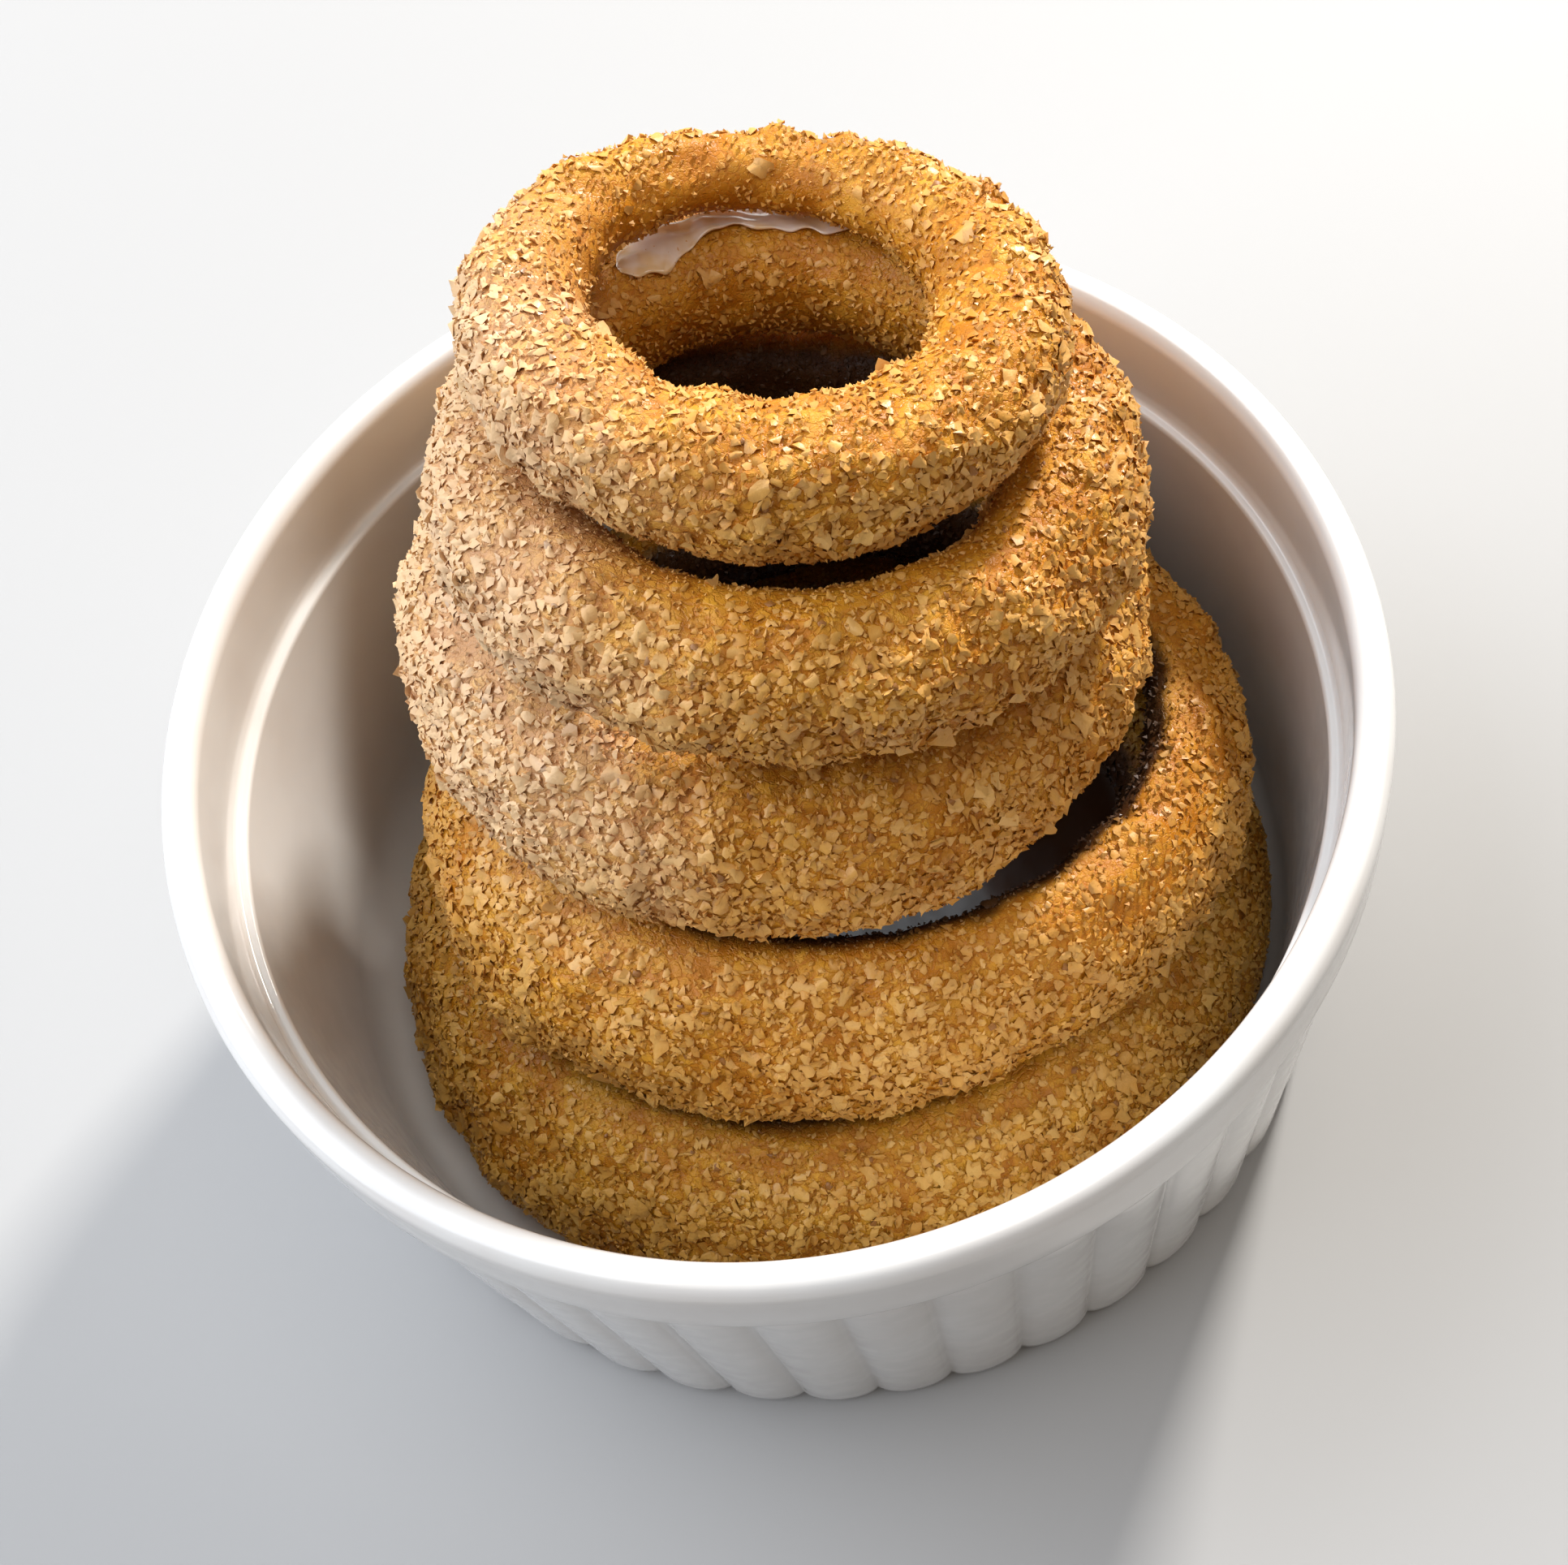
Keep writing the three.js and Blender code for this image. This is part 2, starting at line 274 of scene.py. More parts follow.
    def under_ceiling(self, geometry: Value) -> Socket:
        """Lowers every corner that lies over the ceiling, in a geometry tree."""
        over = self.math("MINIMUM", 0.0, self.minus(CEILING, self.split(self.where())["Z"]))
        return self.moved(geometry, self.join(0.0, 0.0, over))


class Surface(Tree):
    """The tree of a new material.

    Attributes:
        material: the material.
    """

    def __init__(self, name: str) -> None:
        """Makes the material of that name."""
        self.material = bpy.data.materials.new(name)
        self.material.use_nodes = True
        super().__init__(self.material.node_tree)

    def shaded(self, inputs: dict[str, Value]) -> Material:
        """Fills in the material's shader and gives the material back."""
        self.fill(self.tree.nodes["Principled BSDF"], inputs)
        return self.material


# ------------ meshes


def show(data: bpy.types.ID, name: str) -> Piece:
    """Puts a mesh, a light or a camera into the scene as an object of that name."""
    data.name = name
    piece = bpy.data.objects.new(name, data)
    bpy.context.scene.collection.objects.link(piece)
    return piece


def remove(piece: Piece) -> None:
    """Removes an object and its mesh."""
    mesh = piece.data
    bpy.data.objects.remove(piece)
    if mesh.users == 0:
        bpy.data.meshes.remove(mesh)


def bake(piece: Piece, name: str) -> Piece:
    """Turns an object with its modifiers into a plain mesh object of that name, and removes the first."""
    graph = bpy.context.evaluated_depsgraph_get()
    evaluated = piece.evaluated_get(graph)
    mesh = bpy.data.meshes.new_from_object(evaluated, preserve_all_data_layers=True, depsgraph=graph)
    remove(piece)
    return show(mesh, name)


def gathered(pieces: list[Piece]) -> Piece:
    """Joins copies of some pieces, with the numbers on their corners, into one object for a tree to use."""
    copies = [show(piece.data.copy(), "part") for piece in pieces]
    with bpy.context.temp_override(active_object=copies[0], selected_editable_objects=copies):
        bpy.ops.object.join()
    return copies[0]


def use_tree(piece: Piece, tree: Nodes, values: dict[str, Value]) -> None:
    """Gives an object a Geometry Nodes modifier, with those of the values that its tree asks for."""
    modifier = piece.modifiers.new(tree.name, "NODES")
    modifier.node_group = tree
    for item in tree.interface.items_tree:
        if item.item_type == "SOCKET" and item.in_out == "INPUT" and item.name in values:
            modifier[item.identifier] = values[item.name]


def set_numbers(mesh: Mesh, name: str, numbers: np.ndarray) -> None:
    """Stores one number for each corner of a mesh."""
    mesh.attributes.new(name, "FLOAT", "POINT").data.foreach_set("value", numbers.astype(np.float32))


def corners_of(mesh: Mesh) -> tuple[np.ndarray, np.ndarray]:
    """Gives a mesh's corner points and their normals, as two arrays of rows."""
    points = np.empty(len(mesh.vertices) * 3, np.float32)
    normals = np.empty(len(mesh.vertices) * 3, np.float32)
    mesh.vertices.foreach_get("co", points)
    mesh.vertex_normals.foreach_get("vector", normals)
    return points.reshape(-1, 3).astype(float), normals.reshape(-1, 3).astype(float)


def lie_of(points: np.ndarray) -> tuple[np.ndarray, np.ndarray]:
    """Gives the middle and the upward axis of a ring from its corner points."""
    middle = points.mean(axis=0)
    axis = np.linalg.svd(points - middle, full_matrices=False)[2][2]
    return middle, axis if axis[2] > 0 else -axis


def smoothstep(value: np.ndarray, low: float, high: float) -> np.ndarray:
    """Rises smoothly from 0 at low to 1 at high."""
    t = np.clip((value - low) / (high - low), 0, 1)
    return t * t * (3 - 2 * t)


def apart(directions: np.ndarray, middle: float) -> np.ndarray:
    """Gives how far directions are from a middle one, in degrees."""
    return np.abs((directions - middle + 180) % 360 - 180)


def triangles_in(piece: Piece) -> int:
    """Counts an object's triangles."""
    piece.data.calc_loop_triangles()
    return len(piece.data.loop_triangles)


# ------------ finishes

# The scales of noise and of pressed crumbs are counts to the metre.
PATCHES = ((55.0, 2.0, 1.3), (190.0, 2.0, 1.1), (520.0, 1.0, 0.3))  # scale, detail and strength
EVEN_SHADE = 0.5  # share of the light colour between patches
SPECKS = 190.0
TOASTED_FROM, TOASTED_FULL = 0.7, 0.8  # noise at which specks begin and are full
WIDE_SCALES, SMALL_SCALES = 640.0, 1250.0
FINE_RELIEF = 2300.0
FRIED_ROUGHNESS, ROUGHNESS_SWING = 0.45, 0.12
RAISED_LIFT = 0.35  # how far the crust is lighter on its lumps than in its hollows
SOFTNESS = 0.3  # how far the shading follows the ring's round form

PALE_CRUMB: Colour = (0.86, 0.53, 0.18, 1.0)
# Painted light: the paler, whitish colour that the light from the left gives the left side of the upper
# rings.
PAINTED_LEFT_LIGHT: Colour = (0.89, 0.69, 0.48, 1.0)
# Painted shade, nearly black, for the inner side of the lower rings, deep in the stack's hole.
PAINTED_INSIDE_SHADE: Colour = (0.035, 0.012, 0.005, 1.0)
LOW_TONE: Colour = (0.67, 0.68, 0.53, 1.0)
HIGH_TONE: Colour = (0.93, 0.91, 0.9, 1.0)
PALE_BLOOM: Colour = (1.0, 0.84, 0.68, 1.0)
GLAZE_WHITE: Colour = (0.765, 0.755, 0.735, 1.0)
GLAZE_THIN: Colour = (0.71, 0.68, 0.65, 1.0)
# Painted shade, nearly black, on the dish's floor under the stack.
GLAZE_PAINTED_SHADE: Colour = (0.06, 0.022, 0.008, 1.0)
ONION_WHITE: Colour = (0.9, 0.76, 0.65, 1.0)
ONION_GOLD: Colour = (0.8, 0.56, 0.3, 1.0)


@cache
def fried_colour_group() -> Nodes:
    """Builds the colour of fried crumb: wide patches and fine mottling, with toasted specks over them.

    Returns:
        A shader group whose input Lift adds light gold, with the output Colour.
    """
    inputs = {"Color": "Light, Deep, Toast", "Float": "Lift"}
    group = Tree.group("fried colour", "Shader", inputs, {"Color": "Colour"})
    given, where = group.given, group.where()
    level = group.plus(EVEN_SHADE, given["Lift"])
    for scale, detail, strength in PATCHES:
        level = group.times_plus(group.sway(where, scale, detail), strength, level)
    gold = group.blend(group.plus(level, 0.0, clamp=True), given["Deep"], given["Light"])
    toasted = group.ramp(group.noise(where, SPECKS), TOASTED_FROM, TOASTED_FULL)
    return group.ended({"Colour": group.blend(toasted, gold, given["Toast"])})


@cache
def scales_group() -> Nodes:
    """Builds close-set crumbs pressed flat into a crust, like scales, each with its own slope and tint.

    Returns:
        A shader group with the input Scale, in crumbs to the metre, and the outputs Tint, Crumb (0 in the
        gaps between them) and Height.
    """
    group = Tree.group("crumb scales", "Shader", {"Float": "Scale"}, {"Float": "Tint, Crumb, Height"})
    scale, where = group.given["Scale"], group.where()
    bends = group.vector("SUBTRACT", group.noise(where, group.times(scale, 1.3), output=1), HALF)
    bent = group.vector("ADD", where, group.scaled(bends, group.over(1.1, scale)))
    given = {"Vector": bent, "Scale": scale}
    cells = group.node("ShaderNodeTexVoronoi", given, feature="F1").outputs
    edge = group.out("ShaderNodeTexVoronoi", given, "Distance", feature="DISTANCE_TO_EDGE")
    crumb = group.ramp(edge, 0.0, 0.14)
    drawn = group.vector("SUBTRACT", cells["Color"], HALF)
    from_middle = group.vector("SUBTRACT", bent, cells["Position"])
    slope = group.times(group.vector("DOT_PRODUCT", from_middle, drawn, output="Value"), scale)
    tint = group.split(cells["Color"])["X"]
    rise = group.plus(group.times_plus(tint, 0.5, 0.3), slope)
    return group.ended({"Tint": tint, "Crumb": crumb, "Height": group.times(rise, crumb)})


@cache
def soft_normal_group() -> Nodes:
    """Builds the turn of the shading towards the ring's own round form, as light that sinks into crumb gives.

    Returns:
        A shader group with the input and the output Normal.
    """
    group = Tree.group("soft crumb", "Shader", {"Vector": "Normal"}, {"Vector": "Normal"})
    broad = group.out("ShaderNodeAttribute", output="Vector", attribute_name="broad")
    kinds = {"vector_type": "NORMAL", "convert_from": "OBJECT", "convert_to": "WORLD"}
    turned = group.out("ShaderNodeVectorTransform", {0: broad}, **kinds)
    own = group.scaled(group.given["Normal"], 1.0 - SOFTNESS)
    mixed = group.vector("ADD", own, group.scaled(turned, SOFTNESS))
    return group.ended({"Normal": group.vector("NORMALIZE", mixed)})


@cache
def tone_and_painted_light_group() -> Nodes:
    """Builds the change of tone over the stack.

    The crust is darker and yellower low in the dish than higher up. Painted light makes it paler on the
    left of the upper rings, where light from the left falls, and painted shade makes it nearly black where
    it faces the inside of the stack.

    Returns:
        A shader group with the inputs Colour and Share, the strength of the painted light on the left, and
        the output Colour.
    """
    inputs = {"Color": "Colour", "Float": "Share"}
    group = Tree.group("tone with painted light and shade", "Shader", inputs, {"Color": "Colour"})
    given, where = group.given, group.where()
    place = group.split(where)
    tone = group.blend(group.ramp(place["Z"], 15 * MM, 60 * MM), LOW_TONE, HIGH_TONE)
    toned = group.blend(1.0, given["Colour"], tone, "MULTIPLY")
    # Painted light: the left of the upper rings is made paler, where the light from the left falls.
    wander = group.times_plus(group.noise(where, 60.0, 1.0), 20 * MM, place["X"])
    wander = group.times_plus(group.minus(place["Z"], 65 * MM), -0.25, wander)
    high = group.ramp(place["Z"], 50 * MM, 68 * MM)
    side = group.times(group.ramp(wander, -26 * MM, 2 * MM, 1.0, 0.0), high)
    pale = group.blend(group.times(side, given["Share"]), toned, PAINTED_LEFT_LIGHT)
    # Painted shade, nearly black, where the crust faces the inside of the stack.
    return group.ended({"Colour": group.blend(group.attribute("dark"), pale, PAINTED_INSIDE_SHADE)})


@dataclass(frozen=True)
class FriedFinish:
    """Fried crumb, on a ring's skin or on the crumbs themselves.

    Attributes:
        name: the material's name.
        light: colour where it fried least.
        deep: colour where it fried most.
        toast: colour of the toasted specks.
        scaly: how far the crumbs pressed into it show; 0 on a loose crumb.
        pale: how far single crumbs are lighter than the rest.
        tips: how far the middle of a crumb is lighter than its edges.
        side: strength of the painted light that makes the left of the upper rings paler, from 0 to 1.
        oil: weight of the thin film of frying oil.
        dust: weight of the pale bloom of fine crumb.
        grain: height of the fine relief, in metres.
    """

    name: str
    light: Colour
    deep: Colour
    toast: Colour
    scaly: float = 0.0
    pale: float = 0.0
    tips: float = 0.0
    side: float = 0.5
    oil: float = 0.3
    dust: float = 0.03
    grain: float = 0.12 * MM

    def relief(self, tree: Tree) -> tuple[Socket, Socket | float]:
        """Adds the fine relief to the material's tree.

        Returns:
            The height, and how much lighter it makes the colour.
        """
        fine = tree.noise(tree.where(), FINE_RELIEF)
        if not self.scaly and not self.tips:
            return fine, 0.0
        raised = tree.times(tree.attribute("raised"), RAISED_LIFT)
        if not self.scaly:
            return fine, tree.times_plus(tree.minus(tree.attribute("tip"), 0.5), self.tips, raised)
        cover = tree.attribute("cover")
        wide, small = (tree.use(scales_group(), {"Scale": scale}) for scale in (WIDE_SCALES, SMALL_SCALES))
        height = tree.times_plus(small["Height"], 0.5, tree.times(wide["Height"], cover))
        height = tree.times_plus(fine, 0.15, height)
        tint = tree.times(tree.minus(wide["Tint"], 0.6), cover)
        tint = tree.times_plus(tree.minus(wide["Crumb"], 1.0), 0.7, tint)
        tint = tree.times_plus(tree.minus(small["Tint"], 0.5), 0.5, tint)
        return height, tree.times_plus(tint, self.scaly, raised)

    @cache
    def material(self) -> Material:
        """Builds the material the first time, and gives it back."""
        surface = Surface(self.name)
        height, lift = self.relief(surface)
        given = {"Light": self.light, "Deep": self.deep, "Toast": self.toast, "Lift": lift}
        colour = surface.use(fried_colour_group(), given)["Colour"]
        if self.pale:
            tint = surface.times(surface.math("POWER", surface.attribute("tint"), 1.8), self.pale)
            colour = surface.blend(tint, colour, PALE_CRUMB)
        low, high = FRIED_ROUGHNESS - ROUGHNESS_SWING, FRIED_ROUGHNESS + ROUGHNESS_SWING
        normal = {"Normal": surface.bump(height, self.grain, 0.8)}
        toned = surface.use(tone_and_painted_light_group(), {"Colour": colour, "Share": self.side})["Colour"]
        return surface.shaded(
            {
                "Base Color": toned,
                "Normal": surface.use(soft_normal_group(), normal)["Normal"],
                "Roughness": surface.ramp(surface.noise(surface.where(), 260.0, 1.0), 0.3, 0.7, low, high),
                "IOR": 1.36,
                "Coat Weight": self.oil,
                "Coat Roughness": 0.45,
                "Sheen Weight": self.dust,
                "Sheen Roughness": 0.45,
                "Sheen Tint": PALE_BLOOM,
            }
        )


SKIN_GOLDS = ((0.72, 0.35, 0.032, 1.0), (0.5, 0.175, 0.007, 1.0), (0.3, 0.08, 0.005, 1.0))
GRAIN_GOLDS = ((0.73, 0.38, 0.065, 1.0), (0.54, 0.215, 0.011, 1.0), (0.4, 0.13, 0.008, 1.0))
CHIP_GOLDS = ((0.74, 0.39, 0.08, 1.0), (0.54, 0.215, 0.012, 1.0), (0.4, 0.135, 0.008, 1.0))
FLAKE_GOLDS = ((0.77, 0.44, 0.12, 1.0), (0.57, 0.25, 0.03, 1.0), (0.42, 0.15, 0.015, 1.0))
TOASTED_BROWNS = ((0.4, 0.16, 0.025, 1.0), (0.27, 0.1, 0.015, 1.0), (0.16, 0.05, 0.01, 1.0))

SKIN = FriedFinish("fried skin", *SKIN_GOLDS, scaly=0.6, side=0.3, oil=0.0, dust=0.0, grain=0.35 * MM)
GRAIN = FriedFinish("crumb grain", *GRAIN_GOLDS, pale=0.35, tips=0.45)
CHIP = FriedFinish("crumb chip", *CHIP_GOLDS, pale=0.4, tips=0.5)
FLAKE = FriedFinish("crumb flake", *FLAKE_GOLDS, pale=0.5, tips=0.5)
TOASTED = FriedFinish("toasted crumb", *TOASTED_BROWNS)


def white_glaze() -> Material:
    """Builds the glaze: a little wavy, greyer where it runs thin, with painted shade, nearly black, on the
    floor under the rings.
    """
    surface = Surface("white glaze")
    where = surface.where()
    thin = surface.ramp(surface.noise(where, 45.0, 3.0), 0.35, 0.75)
    place = surface.split(where)
    radius = surface.vector("LENGTH", surface.join(place["X"], place["Y"]), output="Value")
    # Painted shade on the floor inside the foot of the stack.
    inside = surface.ramp(radius, 44 * MM, 56 * MM, 1.0, 0.0)
    painted_floor_shade = surface.times(inside, surface.ramp(place["Z"], 3 * MM, 5 * MM))
    return surface.shaded(
        {
            "Base Color": surface.blend(painted_floor_shade, surface.blend(thin, GLAZE_WHITE, GLAZE_THIN), GLAZE_PAINTED_SHADE),
            "Normal": surface.bump(surface.noise(where, 120.0, 1.0), 0.06 * MM, 0.6),
            "Roughness": surface.ramp(surface.noise(where, 300.0), 0.3, 0.7, 0.13, 0.23),
            "Coat Weight": 0.4,
            "Coat Roughness": 0.06,
        }
    )


def oily_onion() -> Material:
    """Builds the wet, whitish finish of the onion's own skin."""
    surface = Surface("oily onion")
    where = surface.where()
    tint = surface.ramp(surface.noise(where, 240.0), 0.4, 0.62)
    return surface.shaded(
        {
            "Base Color": surface.blend(tint, ONION_WHITE, ONION_GOLD),
            "Normal": surface.bump(surface.noise(where, 500.0), 0.25 * MM, 0.7),
            "Roughness": 0.25,
            "Coat Weight": 1.0,
            "Coat Roughness": 0.08,
        }
    )


# ------------ dish

FOOT_CURVE = ((1.6, 0.7, 0.35), (0.7, 1.3, 0.7), (0.2, 2.2, 0.9))  # inward and up in mm, share of the flutes


@dataclass(frozen=True)
class FlutedDish:
    """The round dish: rolled rim, plain band, fluted wall, lid ledge, coved floor and foot ring.

    The lengths that aren't listed are those of the parts they are named after.

    Attributes:
        rim_radius: outside of the rolled rim.
        height: table to the top of the rim.
        flutes: how many there are.
        flute_roundness: how much of a half circle a lobe's section is, from 0 to 1.
        facets_per_flute: faces across one flute.
    """

    rim_radius: float
    height: float
    rim_width: float = 4.7 * MM
    rim_round: float = 2.3 * MM
    band_height: float = 10.6 * MM
    band_edge: float = 0.8 * MM
    seam_depth: float = 0.9 * MM
    flutes: int = 44
    flute_roundness: float = 0.93
    flute_depth: float = 1.3 * MM
    flute_top_radius: float = 74.1 * MM
    flute_foot_radius: float = 69.4 * MM
    flute_foot_height: float = 3.4 * MM
    foot_outer: float = 66.0 * MM
    foot_inner: float = 60.5 * MM
    foot_recess: float = 1.2 * MM
    foot_round: float = 0.8 * MM
    ledge_depth: float = 13.8 * MM
    ledge_width: float = 1.7 * MM
    ledge_round: float = 0.8 * MM
    throat_taper: float = 0.5 * MM
    wall_foot_radius: float = 64.9 * MM
    floor_top: float = 5.4 * MM
    floor_radius: float = 57.0 * MM
    cove_height: float = 9.0 * MM
    facets_per_flute: int = 14

    def outline(self) -> list[tuple[float, float, float]]:
        """Draws half of the dish's section, from the middle of its underside to the middle of its floor.

        Returns:
            Radius, height and share of the flutes' depth for each point.
        """
        points: list[tuple[float, float, float]] = []

        def add(radius: float, height: float, fluted: float = 0.0) -> None:
            """Adds one point."""
            points.append((radius, height, fluted))

        def arc(centre: tuple, size: tuple, start: float, end: float, steps: int) -> None:
            """Adds a stretch of an ellipse, by angles in degrees, both ends included."""
            for step in range(steps + 1):
                turn = math.radians(start + (end - start) * step / steps)
                add(centre[0] + size[0] * math.cos(turn), centre[1] + size[1] * math.sin(turn))

        def straight(start: tuple, end: tuple, steps: int, fluted: float = 0.0) -> None:
            """Adds the points between two others, both ends left out."""
            for step in range(1, steps):
                t = step / steps
                add(start[0] + (end[0] - start[0]) * t, start[1] + (end[1] - start[1]) * t, fluted)

        band_bottom = self.height - self.band_height
        shoulder = self.height - self.rim_round
        lip = self.rim_width / 2
        lip_middle = self.rim_radius - lip
        throat = self.rim_radius - self.rim_width - self.throat_taper
        ledge = self.height - self.ledge_depth
        wall_top = throat - self.ledge_width
        cove_top = self.floor_top + self.cove_height
        foot, edge, curl = self.foot_round, self.band_edge, self.ledge_round
        cove = (self.wall_foot_radius - self.floor_radius, self.cove_height)

        for share in (0.25, 0.5, 0.75):
            add(self.foot_inner * share, self.foot_recess)
        add(self.foot_inner - 1.5 * MM, self.foot_recess)
        arc((self.foot_inner + foot, foot), (foot, foot), 180, 270, 4)
        arc((self.foot_outer - foot, foot), (foot, foot), 270, 345, 4)
        for inward, height, share in FOOT_CURVE:
            add(self.flute_foot_radius - inward * MM, height * MM, share)
        bottom = (self.flute_foot_radius, self.flute_foot_height)
        top = (self.flute_top_radius, band_bottom - self.seam_depth - 0.5 * MM)
        add(*bottom, 1.0)
        straight(bottom, top, 12, 1.0)
        add(*top, 1.0)
        add(self.flute_top_radius - 0.15 * MM, band_bottom - self.seam_depth, 0.85)
        add(self.rim_radius - self.seam_depth - 0.55 * MM, band_bottom - 0.25 * MM, 0.2)
        arc((self.rim_radius - edge, band_bottom + edge), (edge, edge), -80, 0, 4)
        straight((self.rim_radius, band_bottom + edge), (self.rim_radius, shoulder), 4)
        arc((lip_middle, shoulder), (lip, self.rim_round), 0, 180, 14)
        straight((lip_middle - lip, shoulder), (throat, ledge + 2 * curl), 3)
        arc((throat - curl, ledge + curl), (curl, curl), 0, -90, 5)
        arc((wall_top + curl * 0.6, ledge - curl), (-curl * 0.6, curl), 90, 0, 5)
        straight((wall_top, ledge - curl), (self.wall_foot_radius, cove_top), 10)
        arc((self.floor_radius, cove_top), cove, 0, -90, 9)
        for share in (0.75, 0.5, 0.25):
            add(self.floor_radius * share, self.floor_top)
        return points

    def body(self) -> Piece:
        """Turns the outline about the axis and closes it with a fan at each end.

        Returns:
            The plain dish, with the number "fluted" on its corners.
        """
        outline = self.outline()
        columns = self.flutes * self.facets_per_flute
        angles = 2 * math.pi * np.arange(columns) / columns
        rows = [
            np.stack([radius * np.cos(angles), radius * np.sin(angles), np.full(columns, height)], axis=1)
            for radius, height, _ in outline
        ]
        points = np.concatenate([*rows, [[0, 0, self.foot_recess], [0, 0, self.floor_top]]])
        underside, floor = len(points) - 2, len(points) - 1
        sides = [(i, (i + 1) % columns) for i in range(columns)]
        faces = []
        for low in range(0, underside - columns, columns):
            faces += [(low + i, low + j, low + columns + j, low + columns + i) for i, j in sides]
        last = underside - columns
        for i, j in sides:
            faces += [(underside, j, i), (floor, last + i, last + j)]
        mesh = bpy.data.meshes.new("dish body")
        mesh.from_pydata(points.tolist(), [], faces)
        mesh.shade_smooth()
        fluted = np.repeat([share for _, _, share in outline], columns)
        set_numbers(mesh, "fluted", np.concatenate([fluted, [0.0, 0.0]]))
        return show(mesh, "dish body")

    def flute_tree(self) -> Nodes:
        """Builds the tree that presses flutes into the round wall.

        The lobes between the notches are round. The mesh's number "fluted" says how much of the depth
        each corner takes.

        Returns:
            The geometry tree.
        """
        group = Tree.modifier("fluted wall", {})
        place = group.split(group.where())
        angle = group.over(group.math("ARCTAN2", place["Y"], place["X"]), 2 * math.pi)
        along = group.math("FRACT", group.times(angle, self.flutes))
        across = group.times_plus(along, 2.0, -1.0)

        def sag(x: Value) -> Socket:
            """How far a circle has dropped at a share x of its radius from its top."""
            return group.minus(1.0, group.math("SQRT", group.minus(1.0, group.times(x, x))))

        roundness = self.flute_roundness
        share = group.over(sag(group.times(across, roundness)), sag(roundness))
        inward = group.times(group.times(share, self.flute_depth), group.attribute("fluted"))
        outward = group.vector("NORMALIZE", group.join(place["X"], place["Y"]))
        offset = group.scaled(outward, group.times(inward, -1.0))
        return group.dressed(group.realized(group.moved(group.given["Geometry"], offset)))

    def build(self) -> Piece:
        """Makes the glazed dish, which stands for the frame's own."""
        body = self.body()
        use_tree(body, self.flute_tree(), {"Finish": white_glaze()})
        dish = bake(body, "glazed_dish")
        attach(dish, BODY)
        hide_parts(DISH_NODE)
        return dish


# ------------ rings

LUMP = 1.8 * MM
CRAG = 2.2 * MM
CRAG_SIZE = 2.8 * MM


@cache
def relief_tree() -> Nodes:
    """Builds the tree that raises lumps and crags on a ring's skin.

    It sinks the skin by the mesh's number "sink", and keeps the relief low where there is little room to
    the things around the ring. It stores three more for the crumbs and finishes: "room" is how far those
    things are, "broad" the normal of the smooth ring and "raised" how high the relief is.

    Returns:
        A geometry tree with the inputs Around and Finish.
    """
    group = Tree.modifier("crust relief", {"Object": "Around"})
    given, place = group.given, group.where()
    around = group.out("GeometryNodeObjectInfo", {"Object": given["Around"]}, "Geometry")
    room = group.out("GeometryNodeProximity", {0: around}, "Distance", target_element="FACES")
    kept = group.stored(given["Geometry"], "room", room)
    rough = group.minus(group.noise(place, group.over(1.0, CRAG_SIZE), 1.5), 0.45)
    crags = group.times(group.times(rough, CRAG), group.attribute("cover"))
    height = group.times_plus(group.sway(place, 120.0, 1.0), LUMP, crags)
    normal = group.out("GeometryNodeInputNormal")
    sink = group.times(group.attribute("sink"), group.ramp(room, 0.4 * MM, 4.5 * MM))
    sunk = group.minus(group.times(height, group.ramp(room, 0.3 * MM, 6.0 * MM, 0.1, 1.0)), sink)
    kept = group.stored(kept, "broad", normal, data_type="FLOAT_VECTOR")
    kept = group.stored(kept, "raised", group.times(group.over(height, CRAG), 4.0))
    raised = group.moved(kept, group.scaled(normal, sunk))
    return group.dressed(group.realized(group.under_ceiling(raised)))


